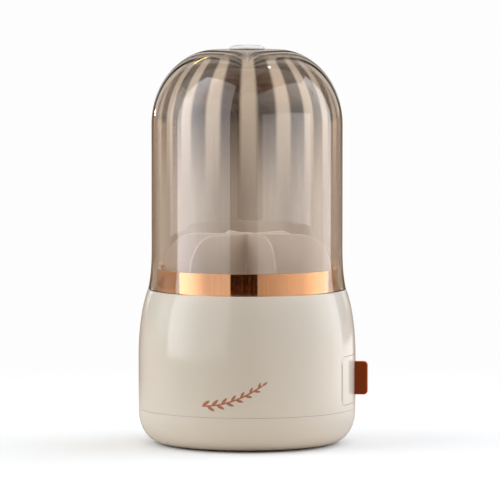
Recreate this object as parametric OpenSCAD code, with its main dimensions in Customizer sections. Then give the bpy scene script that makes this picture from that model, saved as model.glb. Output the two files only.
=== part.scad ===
// Dustproof turntable organizer: a round ivory body with a drawer, a divided cup and a clear lift-off dome.
// The axis of rotation is Z, the table is the plane z = 0, and the drawer pulls out towards +X.

/* [Base dish] */
// Widest diameter of the base dish and of the body shell
body_d = 148; // [134:1:162]
// Diameter of the flat underside
underside_d = 116; // [112:1:124]
// Height of the dish's upper edge above the table
dish_h = 24; // [22:0.5:28]
// Height of the upright band below the dish's upper edge
dish_band_h = 2; // [1:0.5:4]
// Wall and floor thickness of the dish
dish_wall = 2.6; // [2.2:0.1:3.2]
// How far the soft foot ring lies in from the edge of the underside
foot_inset = 2; // [1.5:0.5:6]
// Width of the foot ring
foot_w = 7; // [5:0.5:9]
// Thickness of the foot ring
foot_t = 1.6; // [1.4:0.1:2]
// How far the foot ring stands proud of the underside
foot_proud = 0.8; // [0.5:0.1:1]

/* [Turntable bearing] */
// Space between the track rings and the heads of the shell's screws
track_clear = 3.2; // [1:0.2:6]
// Width of each track ring inside the ball circle
track_in_w = 12; // [11:0.5:14]
// Width of each track ring outside the ball circle
track_out_w = 6; // [5:0.5:7]
// Thickness of a track ring
track_t = 4; // [3.6:0.1:4.5]
// Diameter of a ball
ball_d = 6; // [5.6:0.2:6.4]
// Number of balls
ball_count = 24; // [12:1:30]
// Space between the two track rings
track_gap = 3.4; // [3:0.1:3.8]
// Thickness of the ball cage
cage_t = 1.6; // [1.2:0.1:2]
// Width of the ball cage
cage_w = 8; // [7.5:0.5:9]
// Diameter of the pivot post
post_d = 8; // [7:0.5:9]
// Thickness of the turntable plate
plate_t = 2.6; // [2.2:0.1:3]
// Height of the pad under the plate that the upper track seats on
pad_h = 1.1; // [1:0.1:1.6]
// Number of stiffening ribs under the plate
plate_ribs = 8; // [6:1:12]

/* [Body shell] */
// Gap of the turning seam between the dish and the shell
seam_gap = 0.5; // [0.4:0.1:0.8]
// Height at which the upright side starts to curve in
belly_z = 60; // [54:1:66]
// Height of the shoulder that the dome stands on
shoulder_z = 105; // [100:1:112]
// Angle through which the side has turned at the shoulder
shoulder_turn = 53.5; // [46:0.5:60]
// Wall thickness of the shell
shell_wall = 2.4; // [2:0.1:2.8]
// Height of a screw boss inside the shell
boss_h = 18; // [14:1:24]
// Diameter of a screw boss
boss_d = 8; // [7:0.5:9]
// Space between a screw boss and the drawer's bay
boss_clear = 1.6; // [1:0.1:3]

/* [Drawer] */
// Width of the drawer front
front_w = 56; // [50:1:64]
// Height of the drawer front
front_h = 32.5; // [28:0.5:34]
// Corner radius of the drawer front and of the tray's lower edges
front_corner_r = 4; // [2.5:0.5:6]
// Thickness of the drawer front
front_t = 3.4; // [3.2:0.1:4]
// Space between the back corners of the drawer's bay and the shell's side
bay_clear = 15.8; // [10:0.1:20]
// How far the drawer pulls out
drawer_travel = 75; // [55:1:78]
// Wall thickness of the drawer tray
tray_wall = 1.6; // [1.4:0.1:2]
// Wall thickness of the bay that the drawer runs in
bay_wall = 1.6; // [1.4:0.1:1.8]
// Height of the runners under the tray
runner_h = 0.8; // [0.6:0.1:1.2]
// Diameter of the hole through which the pivot screw is reached
access_d = 20; // [18:1:22]

/* [Pull tab] */
// Height of the pull tab
tab_h = 22.8; // [18:0.2:24]
// Thickness of the pull tab
tab_t = 2.8; // [2.4:0.1:3.4]
// How far the tab stands out from the drawer front
tab_out = 8.8; // [7:0.2:12]
// Radius of the tab's outer corners
tab_corner_r = 2.7; // [2:0.1:4]

/* [Cup and dividers] */
// Wall thickness of the cup
cup_wall = 1.8; // [1.6:0.1:2.2]
// Height of the cup's rim above the shoulder
cup_rise = 13.4; // [11:0.2:16]
// Outer diameter of the round compartment in the middle
well_d = 46; // [38:1:52]
// Number of compartments round the middle one
sector_count = 6; // [4:1:8]
// Thickness of the dividers
divider_t = 1.6; // [1.4:0.1:2]
// How far the dividers end below the cup's rim
divider_drop = 6.6; // [3:0.2:14]

/* [Collar] */
// Wall thickness of the collar
collar_wall = 1.9; // [1.7:0.1:2.2]
// Thickness of the collar's lip over the cup's rim
collar_lip_t = 1.2; // [1:0.1:1.6]

/* [Dome] */
// How far the dome's upright side stands in from the body's widest diameter
dome_inset = 9; // [8:0.5:11]
// Height of the dome from its rim to the edge of its flat crown
dome_h = 163; // [150:1:180]
// Wall thickness of the dome
dome_wall = 2.2; // [2:0.1:2.6]
// Diameter of the nearly flat crown
crown_d = 42; // [36:1:48]
// Height of the rounded part below the crown
dome_round_h = 51; // [44:1:56]
// How far the rim flares out beyond the upright side
rim_flare = 2.4; // [1.6:0.1:2.6]
// Height over which the rim flares out
rim_flare_h = 30; // [20:1:40]
// Rise of the crown in its middle
crown_rise = 0.4; // [0.2:0.1:0.8]
// Diameter of the cap on the crown
cap_d = 23.8; // [20:0.2:28]
// Thickness of the cap at its edge
cap_edge_t = 0.8; // [0.6:0.1:1.2]
// Rise of the cap's lens above its edge
cap_rise = 2.2; // [1.6:0.1:3]
// Diameter of the cap's stem
cap_stem_d = 8; // [7:0.5:10]

/* [Screws] */
// Shank diameter of the screws
screw_d = 3; // [2.6:0.1:3]
// Head diameter of the screws
screw_head_d = 5.6; // [5.2:0.1:5.8]
// Head height of the screws
screw_head_h = 1.8; // [1.6:0.1:1.9]

/* [Hidden] */
$fn = 96;

// Clearances
screw_play = 0.05;
pivot_play = 0.05;
ball_play = 0.2;
cage_play = 0.1;
turn_gap = 0.3;
press_gap = 0.1;
slide_gap = 0.1;
front_gap = 0.4;
front_lift = 0.3;
bay_gap = 0.6;
roof_gap = 0.7;
tray_gap = 0.6;
mouth_gap = 0.5;
cup_gap = 2.2;
cup_fit = 0.2;
insert_gap = 0.2;
collar_clear = 0.8;
rim_step = 0.1;
tip_gap = 0.2;
thread_end = 0.5;

// Softened edges, joining overlaps and the number of steps in curves
edge_soft = 0.4;
weld = 0.1;
over = 1;
arc_steps = 24;
flare_steps = 12;
crown_steps = 8;

// Colours
ivory = [0.91, 0.88, 0.83];
inner_white = [0.95, 0.94, 0.92];
track_grey = [0.62, 0.64, 0.66];
steel = [0.75, 0.76, 0.78];
soft_grey = [0.35, 0.35, 0.36];
terracotta = [0.5, 0.21, 0.1];
rose_gold = [0.86, 0.6, 0.43];
smoke = [0.55, 0.48, 0.44, 0.35];
frosted = [0.93, 0.92, 0.9, 0.7];

// Radii that the body sets
body_r = body_d / 2;
side_r = body_r - shell_wall;
boss_inset = 9.6;
boss_r = boss_d / 2;
boss_ring_r = side_r - boss_inset;

// Screws
head_taper_ratio = 0.8;
recess_span_ratio = 0.9;
recess_slot_ratio = 0.24;
recess_deep = 1.8;

// Base dish and bearing, from the table upwards
underside_r = underside_d / 2;
floor_top = foot_proud + dish_wall;
shell_z = dish_h + seam_gap;
plate_top = shell_z + plate_t;
upper_track_z = shell_z - pad_h - track_t;
lower_track_z = upper_track_z - track_gap - track_t;
ball_z = upper_track_z - track_gap / 2;
track_out_r = boss_ring_r - screw_head_d / 2 - track_clear;
track_r = track_out_r - track_out_w;
track_in_r = track_r - track_in_w;
rib_t = 2;
seat_ribs = 12;
track_screws = 4;
track_screw_turn = 45;
track_screw_inset = 4;
track_screw_r = track_in_r + track_screw_inset;
track_screw_l = 8;
track_screw_post_d = 7;
upper_screw_l = track_t + pad_h + plate_t - 2 * thread_end;
foot_out_r = underside_r - foot_inset;

// Pivot
post_r = post_d / 2;
pivot_head_h = 2.2;
pivot_head_d = 7;
pivot_screw_l = 12;
washer_t = 1;
washer_r = 8;
post_proud = 0.1;
head_sink = 0.4;
web_top = plate_top - pivot_head_h - washer_t - post_proud - head_sink;
web_t = 2.5;
hub_wall = 3;
hub_r = post_r + hub_wall;
hub_step = 1;
pivot_boss_r = hub_r + hub_step;
pit_r = 12;
hub_l = 5.9;
hub_z = web_top - web_t - hub_l;
pivot_boss_z = hub_z - turn_gap;

// Dome, collar and cup, which set the shoulder
dome_r = body_r - dome_inset;
flare_power = 2.6;
rim_r = dome_r + rim_flare;
shoulder_r = rim_r + rim_step;
dome_top = shoulder_z + dome_h;
crown_r = crown_d / 2;
collar_r = dome_r - dome_wall - collar_clear;
cup_r = collar_r - collar_wall - press_gap;
cup_top = shoulder_z + cup_rise;
mouth_r = cup_r + cup_fit;
cup_flange_t = 1.6;
cup_flange_w = 1.2;

// Body shell
shoulder_a = (body_r - shoulder_r) / (1 - cos(shoulder_turn));
shoulder_b = (shoulder_z - belly_z) / sin(shoulder_turn);
flange_t = shell_wall;
flange_turn = asin((shoulder_z - flange_t - belly_z) / (shoulder_b - shell_wall));
shell_screw_l = 12;
web_rib_t = 1.8;

// Drawer and bay
bay_floor = plate_top + bay_wall;
front_z = bay_floor + front_lift;
front_mid_z = front_z + front_h / 2;
bay_roof = front_z + front_h + roof_gap;
bay_top = bay_roof + bay_wall;
bay_in = front_w / 2 + bay_gap;
bay_out = bay_in + bay_wall;
bay_back = -sqrt(pow(side_r - bay_clear, 2) - bay_out * bay_out);
bay_front = sqrt(side_r * side_r - bay_out * bay_out) - mouth_gap;
boss_turn = asin((bay_out + boss_r + boss_clear) / boss_ring_r);
front_in_r = body_r - front_t;
tray_r = front_in_r - press_gap;
tray_half = front_w / 2 - tray_gap;
tray_z = bay_floor + runner_h + slide_gap;
tray_drop = 4.6;
tray_top = bay_roof - tray_drop;
tray_back = bay_back + bay_wall + turn_gap;
rail_w = 3;
rail_t = 1.6;
runner_w = 3;
runner_inset = 0.5;
runner_y = tray_half - front_corner_r - runner_w - runner_inset;
stop_w = 20;
stop_gap = 0.5;
ear_l = 10;
ear_w = 8;
ear_t = 2;
ear_gap = 7;
ear_x = boss_ring_r * cos(boss_turn) - boss_r - ear_gap - ear_l / 2;
bay_screw_l = ear_t + plate_t + pad_h - thread_end;
front_screw_y = 20;
front_screw_l = 5.6;
front_pad_r = 3.6;
front_pad_t = 2;
front_pad_l = tray_wall + front_pad_t + over;
front_pad_x = sqrt(tray_r * tray_r - front_screw_y * front_screw_y) - tray_wall - front_pad_t;

// Pull tab
tab_z = front_mid_z - tab_h / 2;
tab_root_w = 8;
tab_root_t = 1.6;
tab_root_face_x = sqrt(front_in_r * front_in_r - tab_root_w * tab_root_w / 4) - press_gap;
tab_root_x = tab_root_face_x - tab_root_t;
tab_block_side = 3;
tab_block_w = tab_root_w + 2 * tab_block_side;
tab_block_t = 2.6;
tab_block_x = tab_root_x - tab_block_t;

// Cup floor above the bay
cup_floor = bay_top + cup_gap;
insert_z = cup_floor + cup_wall;
well_r = well_d / 2;
divider_end_r = cup_r - cup_wall - insert_gap;

// Cap's clip behind the crown
clip_l = 1.6;
clip_w = 0.8;
clip_edge = 0.4;

// Points of an elliptical arc about [x, y], from one angle to another
function arc(x, y, a, b, from, to) =
    [for (i = [0:arc_steps]) let (t = from + (to - from) * i / arc_steps) [x + a * cos(t), y + b * sin(t)]];

// Radius added by the flare at a height above the rim
function flare(h) = rim_flare * pow(1 - h / rim_flare_h, flare_power);

// Height of the crown above its edge at a radius
function crown(r) = crown_rise * (1 + cos(180 * r / crown_r)) / 2;

// Outline of the dome's surface from rim to crown, drawn in by a wall
function dome_side(inset) = concat(
    [for (i = [0:flare_steps]) let (h = rim_flare_h * i / flare_steps)
        [dome_r - inset + flare(h), shoulder_z + h]],
    arc(crown_r, dome_top - dome_round_h, dome_r - crown_r - inset, dome_round_h - inset, 0, 90));

// Outline of the crown from its edge to a hole in its middle
function dome_crown(inset, hole_r) =
    [for (i = [1:crown_steps]) let (r = crown_r + (hole_r - crown_r) * i / crown_steps)
        [r, dome_top - inset + crown(r)]];

// The same points from last to first
function reversed(points) = [for (i = [len(points) - 1:-1:0]) points[i]];

// Copies of a shape on a circle
module ring_of(count, r, start = 0) {
    for (i = [0:count - 1])
        rotate(start + 360 * i / count) translate([r, 0, 0]) children();
}

// Ring about the axis, between two radii
module turned_ring(r_in, r_out, z, h) {
    translate([0, 0, z]) difference() {
        cylinder(r = r_out, h = h);
        translate([0, 0, -over]) cylinder(r = r_in, h = h + 2 * over);
    }
}

// Flat rectangle with round corners, centred
module rounded_rect(w, h, r) {
    square([w - 2 * r, h], center = true);
    square([w, h - 2 * r], center = true);
    for (x = [-1, 1], y = [-1, 1])
        translate([x * (w / 2 - r), y * (h / 2 - r)]) circle(r = r);
}

// Bar along X with a rounded rectangular section, centred on the drawer front
module front_prism(grow, from_x, to_x) {
    translate([from_x, 0, front_mid_z]) rotate([90, 0, 90]) linear_extrude(to_x - from_x)
        rounded_rect(front_w + 2 * grow, front_h + 2 * grow, front_corner_r + grow);
}

// Block between two corners
module block(low, high) {
    translate(low) cube(high - low);
}

// Screws stand with the underside of a pan head, or the face of a sunk head, at z = 0 and the shank below
module cross_recess(top) {
    for (a = [0, 90])
        rotate(a) translate([0, 0, top])
            cube([screw_d * recess_span_ratio, screw_d * recess_slot_ratio, recess_deep], center = true);
}

module pan_screw(l) {
    difference() {
        union() {
            translate([0, 0, -l]) cylinder(d = screw_d, h = l + weld);
            cylinder(d1 = screw_head_d, d2 = screw_head_d * head_taper_ratio, h = screw_head_h);
        }
        cross_recess(screw_head_h);
    }
}

module sunk_screw(l) {
    difference() {
        sunk_form(l, 0);
        cross_recess(0);
    }
}

// Shank and cone of a sunk screw, grown by a play
module sunk_form(l, play) {
    translate([0, 0, -l]) cylinder(r = screw_d / 2 + play, h = l);
    translate([0, 0, -screw_head_h])
        cylinder(r1 = screw_d / 2 + play, r2 = screw_head_d / 2 + play, h = screw_head_h);
}

module shank_hole(l) {
    translate([0, 0, -l - tip_gap]) cylinder(r = screw_d / 2 + screw_play, h = l + over);
}

module sunk_hole(l) {
    sunk_form(l + tip_gap, screw_play);
    cylinder(r = screw_head_d / 2 + screw_play, h = over);
}

// Four places on the circle of the track screws
module at_track_screws() {
    ring_of(track_screws, track_screw_r, track_screw_turn) children();
}

// Shallow dish with the bearing's seat, the pivot post and a groove for the foot ring
module base_dish() {
    corner_z = dish_h - dish_band_h;
    a = body_r - underside_r;
    b = corner_z - foot_proud;
    color(ivory) difference() {
        union() {
            rotate_extrude() polygon(concat(
                [[0, foot_proud]],
                arc(underside_r, corner_z, a, b, -90, 0),
                [[body_r, dish_h - edge_soft], [body_r - edge_soft, dish_h], [body_r - dish_wall, dish_h]],
                arc(underside_r, corner_z, a - dish_wall, b - dish_wall, 0, -90),
                [[0, floor_top]]));
            bearing_seat();
            cylinder_from(floor_top - edge_soft, pivot_boss_z, pivot_boss_r);
            cylinder_from(floor_top, web_top + post_proud, post_r);
        }
        turned_ring(foot_out_r - foot_w, foot_out_r, -over, over + foot_t);
        at_track_screws() translate([0, 0, lower_track_z + track_t]) shank_hole(track_screw_l);
        translate([0, 0, web_top + post_proud + washer_t]) shank_hole(pivot_screw_l);
    }
}

// Cylinder about the axis between two heights
module cylinder_from(z0, z1, r) {
    translate([0, 0, z0]) cylinder(r = r, h = z1 - z0);
}

// Ribbed pedestal in the dish that carries the lower track
module bearing_seat() {
    h = lower_track_z - floor_top + edge_soft;
    z = floor_top - edge_soft;
    turned_ring(track_in_r, track_in_r + rib_t, z, h);
    turned_ring(track_out_r - rib_t, track_out_r, z, h);
    for (i = [0:seat_ribs - 1])
        rotate(360 * i / seat_ribs) translate([track_in_r + rib_t / 2, -rib_t / 2, z])
            cube([track_out_r - track_in_r - rib_t, rib_t, h]);
    at_track_screws() translate([0, 0, z]) cylinder(d = track_screw_post_d, h = h);
}

// Soft ring in the dish's groove, which stands on the table
module foot_ring() {
    r0 = foot_out_r - foot_w + press_gap;
    r1 = foot_out_r - press_gap;
    color(soft_grey) rotate_extrude() polygon([
        [r0 + edge_soft, 0], [r1 - edge_soft, 0], [r1, edge_soft], [r1, foot_t],
        [r0, foot_t], [r0, edge_soft]]);
}

// A track ring with its ball groove on the face at z, and its screw holes
module track_ring(z, face_z, turn) {
    difference() {
        rotate_extrude() difference() {
            translate([track_in_r, z]) square([track_out_r - track_in_r, track_t]);
            translate([track_r, ball_z]) circle(r = ball_d / 2 + ball_play);
        }
        at_track_screws() translate([0, 0, face_z]) rotate([turn, 0, 0]) sunk_hole(track_t + over);
    }
}

module lower_track() {
    color(track_grey) track_ring(lower_track_z, lower_track_z + track_t, 0);
}

module lower_track_screws() {
    color(steel) at_track_screws()
        translate([0, 0, lower_track_z + track_t]) sunk_screw(track_screw_l);
}

// Flat ring with a round hole for each ball
module ball_cage() {
    color(inner_white) difference() {
        turned_ring(track_r - cage_w / 2, track_r + cage_w / 2, ball_z - cage_t / 2, cage_t);
        ring_of(ball_count, track_r) translate([0, 0, ball_z - cage_t])
            cylinder(r = ball_d / 2 + cage_play, h = 2 * cage_t);
    }
}

module bearing_balls() {
    color(steel) ring_of(ball_count, track_r) translate([0, 0, ball_z]) sphere(d = ball_d, $fn = 32);
}

module upper_track() {
    color(track_grey) track_ring(upper_track_z, upper_track_z, 180);
}

module upper_track_screws() {
    color(steel) at_track_screws()
        translate([0, 0, upper_track_z]) rotate([180, 0, 0]) sunk_screw(upper_screw_l);
}

// Ribbed plate that turns with the body, with a pad for the upper track and a hub round the post
module turntable_plate() {
    plate_r = side_r - press_gap;
    rib_z = shell_z - pad_h;
    color(inner_white) difference() {
        union() {
            rotate_extrude() polygon([
                [post_r + pivot_play, hub_z], [hub_r, hub_z], [hub_r, web_top - web_t],
                [pit_r + web_t, web_top - web_t], [pit_r + web_t, shell_z],
                [track_in_r, shell_z], [track_in_r, shell_z - pad_h],
                [track_out_r, shell_z - pad_h], [track_out_r, shell_z],
                [plate_r, shell_z], [plate_r, plate_top],
                [pit_r, plate_top], [pit_r, web_top], [post_r + pivot_play, web_top]]);
            for (i = [0:plate_ribs - 1])
                rotate(360 * i / plate_ribs) translate([pit_r + web_t / 2, -rib_t / 2, rib_z])
                    cube([track_in_r - pit_r - web_t / 2 + edge_soft, rib_t, plate_top - rib_z - edge_soft]);
        }
        at_track_screws()
            translate([0, 0, upper_track_z]) rotate([180, 0, 0]) shank_hole(upper_screw_l);
        at_bosses() cylinder_from(shell_z - over, plate_top + over, screw_d / 2 + screw_play);
        at_bay_ears() shank_hole(bay_screw_l);
    }
}

module pivot_washer() {
    color(steel) turned_ring(screw_d / 2 + screw_play, washer_r, web_top + post_proud, washer_t);
}

module pivot_screw() {
    z = web_top + post_proud + washer_t;
    color(steel) difference() {
        union() {
            translate([0, 0, z - pivot_screw_l]) cylinder(d = screw_d, h = pivot_screw_l + weld);
            translate([0, 0, z])
                cylinder(d1 = pivot_head_d, d2 = pivot_head_d * head_taper_ratio, h = pivot_head_h);
        }
        cross_recess(z + pivot_head_h);
    }
}

// Places of the four screw bosses, beside the drawer's bay
module at_bosses() {
    for (turn = [boss_turn, 180 - boss_turn, 180 + boss_turn, -boss_turn])
        rotate(turn) translate([boss_ring_r, 0, 0]) children();
}

// Outline of the shell's surface from the turning seam to the shoulder, drawn in by a wall
function shell_side(inset, turn) =
    arc(body_r - shoulder_a, belly_z, shoulder_a - inset, shoulder_b - inset, 0, turn);

// Moulded drum with the drawer's window, a flange at the shoulder and four bosses
module body_shell() {
    color(ivory) difference() {
        union() {
            rotate_extrude() polygon(concat(
                [[body_r - edge_soft, shell_z], [body_r, shell_z + edge_soft]],
                shell_side(0, shoulder_turn),
                [[mouth_r, shoulder_z], [mouth_r, shoulder_z - flange_t]],
                reversed(shell_side(shell_wall, flange_turn)),
                [[side_r, shell_z]]));
            at_bosses() shell_boss();
        }
        front_prism(front_gap, front_in_r / 2, body_r + over);
        at_bosses() translate([0, 0, shell_z]) rotate([180, 0, 0]) shank_hole(shell_screw_l);
    }
}

// Screw boss that stands on the turntable plate, with the web that ties it to the shell's side
module shell_boss() {
    translate([0, 0, plate_top]) {
        cylinder(d = boss_d, h = boss_h);
        translate([0, -web_rib_t / 2, 0]) cube([boss_inset + shell_wall / 2, web_rib_t, boss_h]);
    }
}

module shell_screws() {
    color(steel) at_bosses()
        translate([0, 0, shell_z]) rotate([180, 0, 0]) pan_screw(shell_screw_l);
}

// Screw places in the bay's four ears
module at_bay_ears() {
    for (x = [-ear_x, ear_x], side = [-1, 1])
        translate([x, side * (bay_out + ear_w / 2), plate_top + ear_t]) children();
}

// Box that the drawer runs in, open to the window, with a hole for reaching the pivot screw
module drawer_bay() {
    color(inner_white) difference() {
        union() {
            difference() {
                block([bay_back, -bay_out, plate_top], [bay_front, bay_out, bay_top]);
                block([bay_back + bay_wall, -bay_in, bay_floor], [bay_front + over, bay_in, bay_roof]);
            }
            for (side = [-1, 1]) bay_side(side);
            drawer_stop();
        }
        translate([0, 0, plate_top - over]) cylinder(d = access_d, h = bay_top - plate_top + 2 * over);
        at_bay_ears() shank_hole(bay_screw_l);
    }
}

// Runner under the tray, rail over its edge, and the two screw ears of one side
module bay_side(side) {
    mirror([0, side < 0 ? 1 : 0, 0]) {
        block([bay_back, runner_y, bay_floor - edge_soft],
            [bay_front, runner_y + runner_w, bay_floor + runner_h]);
        block([bay_back, bay_in - rail_w, tray_top + turn_gap],
            [bay_front, bay_in + bay_wall / 2, tray_top + turn_gap + rail_t]);
        for (x = [-ear_x, ear_x])
            block([x - ear_l / 2, bay_out - bay_wall / 2, plate_top],
                [x + ear_l / 2, bay_out + ear_w, plate_top + ear_t]);
    }
}

// Rib under the roof that the tray's back wall meets when the drawer is fully out
module drawer_stop() {
    x = tray_back + tray_wall + drawer_travel + slide_gap;
    block([x, -stop_w / 2, tray_top + 2 * turn_gap], [x + bay_wall, stop_w / 2, bay_roof + bay_wall / 2]);
}

module bay_screws() {
    color(steel) at_bay_ears() pan_screw(bay_screw_l);
}

// The tray's form up to a height, drawn in by a wall. Its front is rounded to the body, and its lower edges
// have the window's corner radius.
module tray_form(inset, top) {
    z = tray_z + inset;
    r = front_corner_r - inset;
    h = top - z + 2 * r;
    intersection() {
        translate([tray_back + inset, 0, z + h / 2]) rotate([90, 0, 90]) linear_extrude(body_r - tray_back)
            rounded_rect(2 * (tray_half - inset), h, r);
        cylinder_from(z - over, top, tray_r - inset);
    }
}

// Screw places behind the drawer front, with the heads inside the tray
module at_front_screws() {
    for (y = [-front_screw_y, front_screw_y])
        translate([front_pad_x, y, front_mid_z]) rotate([0, -90, 0]) children();
}

// Open tray with a block for the tab's root, two screw pads and a catch on its back wall
module drawer_tray() {
    color(inner_white) difference() {
        union() {
            difference() {
                tray_form(0, tray_top);
                tray_form(tray_wall, tray_top + over);
            }
            intersection() {
                tray_form(0, tray_top);
                union() {
                    block([tab_block_x, -tab_block_w / 2, tray_z], [body_r, tab_block_w / 2, tray_top]);
                    at_front_screws() translate([0, 0, -front_pad_l])
                        cylinder(r = front_pad_r, h = front_pad_l);
                }
            }
            block([tray_back, -stop_w / 2, tray_top - tray_wall],
                [tray_back + tray_wall, stop_w / 2, bay_roof - stop_gap]);
        }
        block([tab_root_x - press_gap, -tab_root_w / 2 - press_gap, tab_z - press_gap],
            [body_r, tab_root_w / 2 + press_gap, tab_z + tab_h + press_gap]);
        at_front_screws() shank_hole(front_screw_l);
    }
}

// Piece of the shell's side, with a slot for the tab
module drawer_front() {
    color(ivory) difference() {
        intersection() {
            rotate_extrude() polygon(concat(
                [[front_in_r, front_z - over], [body_r, front_z - over]],
                shell_side(0, shoulder_turn / 2),
                [[front_in_r, belly_z + shoulder_b * sin(shoulder_turn / 2)]]));
            front_prism(0, front_in_r / 2, body_r + over);
        }
        block([front_in_r / 2, -tab_t / 2 - screw_play, tab_z - screw_play],
            [body_r + over, tab_t / 2 + screw_play, tab_z + tab_h + screw_play]);
        at_front_screws() shank_hole(front_screw_l);
    }
}

module front_screws() {
    color(steel) at_front_screws() pan_screw(front_screw_l);
}

// Flat tab with a T-shaped root that is trapped between the drawer front and the tray
module pull_tab() {
    out_x = body_r + tab_out;
    color(terracotta) {
        translate([0, 0, tab_z]) rotate([90, 0, 0]) linear_extrude(tab_t, center = true) polygon(concat(
            [[tab_root_x, 0]],
            arc(out_x - tab_corner_r, tab_corner_r, tab_corner_r, tab_corner_r, -90, 0),
            arc(out_x - tab_corner_r, tab_h - tab_corner_r, tab_corner_r, tab_corner_r, 0, 90),
            [[tab_root_x, tab_h]]));
        block([tab_root_x, -tab_root_w / 2, tab_z], [tab_root_face_x, tab_root_w / 2, tab_z + tab_h]);
    }
}

// Round cup that hangs in the shell's mouth by a flange round its side
module divider_cup() {
    color(inner_white) rotate_extrude() polygon([
        [0, cup_floor], [cup_r - cup_wall, cup_floor], [cup_r, cup_floor + cup_wall],
        [cup_r, shoulder_z], [cup_r + cup_flange_w, shoulder_z],
        [cup_r + cup_flange_w, shoulder_z + cup_flange_t], [cup_r, shoulder_z + cup_flange_t],
        [cup_r, cup_top], [cup_r - cup_wall, cup_top],
        [cup_r - cup_wall, insert_z], [0, insert_z]]);
}

// Round middle compartment with radial walls, which stands in the cup
module divider_insert() {
    wall_mid_r = well_r - divider_t / 2;
    color(inner_white) translate([0, 0, insert_z]) linear_extrude(cup_top - divider_drop - insert_z) {
        difference() {
            circle(r = well_r);
            circle(r = well_r - divider_t);
        }
        for (i = [0:sector_count - 1])
            rotate(360 * (i + 0.5) / sector_count) translate([wall_mid_r, -divider_t / 2])
                square([divider_end_r - wall_mid_r, divider_t]);
    }
}

// Band over the cup's rim and flange, with a lip above the rim
module collar_ring() {
    inner = cup_r + press_gap;
    rebate_r = cup_r + cup_flange_w + press_gap;
    rebate_z = shoulder_z + cup_flange_t + press_gap;
    top = cup_top + collar_lip_t;
    lip_r = cup_r - cup_wall;
    color(rose_gold) rotate_extrude() polygon(concat(
        [[rebate_r, shoulder_z], [collar_r, shoulder_z]],
        arc(collar_r - edge_soft, top - edge_soft, edge_soft, edge_soft, 0, 90),
        [[lip_r, top], [lip_r, cup_top], [inner, cup_top], [inner, rebate_z], [rebate_r, rebate_z]]));
}

// Clear cover with a flared rim and a moulding hole in its crown
module dome() {
    hole_r = cap_stem_d / 2 + press_gap;
    color(smoke) rotate_extrude() polygon(concat(
        dome_side(0), dome_crown(0, hole_r),
        reversed(concat(dome_side(dome_wall), dome_crown(dome_wall, hole_r)))));
}

// Lens-shaped cap with a stem that clips through the dome's crown
module dome_cap() {
    seat = dome_top + crown_rise;
    stem_r = cap_stem_d / 2;
    clip_z = seat - dome_wall - press_gap;
    lens_r = cap_d / 2;
    color(frosted) rotate_extrude() polygon(concat(
        [[0, clip_z - clip_l], [stem_r - clip_edge, clip_z - clip_l], [stem_r + clip_w, clip_z - clip_edge],
            [stem_r + clip_w, clip_z], [stem_r, clip_z], [stem_r, seat], [lens_r, seat]],
        arc(0, seat + cap_edge_t, lens_r, cap_rise, 0, 90)));
}

base_dish();
foot_ring();
lower_track();
lower_track_screws();
ball_cage();
bearing_balls();
upper_track();
upper_track_screws();
turntable_plate();
pivot_washer();
pivot_screw();
body_shell();
shell_screws();
drawer_bay();
bay_screws();
drawer_tray();
drawer_front();
front_screws();
pull_tab();
divider_cup();
divider_insert();
collar_ring();
dome();
dome_cap();
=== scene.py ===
import math

import bmesh
import bpy
from mathutils import Matrix, Vector


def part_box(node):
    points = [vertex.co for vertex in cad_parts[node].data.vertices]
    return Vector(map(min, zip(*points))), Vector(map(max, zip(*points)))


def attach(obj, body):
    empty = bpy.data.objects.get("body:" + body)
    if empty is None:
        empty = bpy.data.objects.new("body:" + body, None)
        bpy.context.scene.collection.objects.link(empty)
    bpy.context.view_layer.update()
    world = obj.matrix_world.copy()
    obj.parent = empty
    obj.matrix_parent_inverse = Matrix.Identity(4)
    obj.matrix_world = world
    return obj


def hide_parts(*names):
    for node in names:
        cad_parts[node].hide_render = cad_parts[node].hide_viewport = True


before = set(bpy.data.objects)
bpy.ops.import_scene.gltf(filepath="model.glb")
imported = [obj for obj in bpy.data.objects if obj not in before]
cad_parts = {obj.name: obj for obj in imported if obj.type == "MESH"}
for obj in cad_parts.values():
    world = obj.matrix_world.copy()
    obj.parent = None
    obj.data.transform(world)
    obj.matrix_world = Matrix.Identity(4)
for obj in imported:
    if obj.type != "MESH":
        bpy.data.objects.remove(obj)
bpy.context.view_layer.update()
scene = bpy.context.scene
scene.view_settings.view_transform = "Standard"


# Camera: stands 3 m in front at eye height over a table and looks slightly down, with a long lens. It is
# turned round the object towards the drawer, so the drawer's side faces it a little.
camera_distance = 3.0
camera_height = 0.347
camera_shift = 0.002
aim_height = 0.1315
view_turn = math.radians(8)
view_right = Vector((math.cos(view_turn), math.sin(view_turn), 0))
view_front = Vector((math.sin(view_turn), -math.cos(view_turn), 0))
camera = bpy.data.objects.new("camera", bpy.data.cameras.new("camera"))
scene.collection.objects.link(camera)
camera.data.sensor_width = 36
camera.data.lens = 318
camera.data.clip_end = 100
aim = view_right * camera_shift + Vector((0, 0, aim_height))
camera.location = view_right * camera_shift + view_front * camera_distance + Vector((0, 0, camera_height))
camera.rotation_euler = (aim - camera.location).to_track_quat("-Z", "Y").to_euler()
scene.camera = camera


# Room: pale where it is seen directly. In reflections and through the clear dome it is dim, with upright
# bands on its walls, and dark brown with a few lighter spots behind the camera.
def node_tools(tree):
    """Short forms for one node tree: a node with its inputs and settings, and the result of a math node."""
    def add(kind, inputs=(), **settings):
        node = tree.nodes.new(kind)
        for key, value in settings.items():
            setattr(node, key, value)
        for key, value in dict(inputs).items():
            if isinstance(value, bpy.types.NodeSocket):
                tree.links.new(value, node.inputs[key])
            else:
                node.inputs[key].default_value = value
        return node

    def calc(operation, *values):
        return add("ShaderNodeMath", enumerate(values), operation=operation).outputs[0]

    return add, calc


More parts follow.
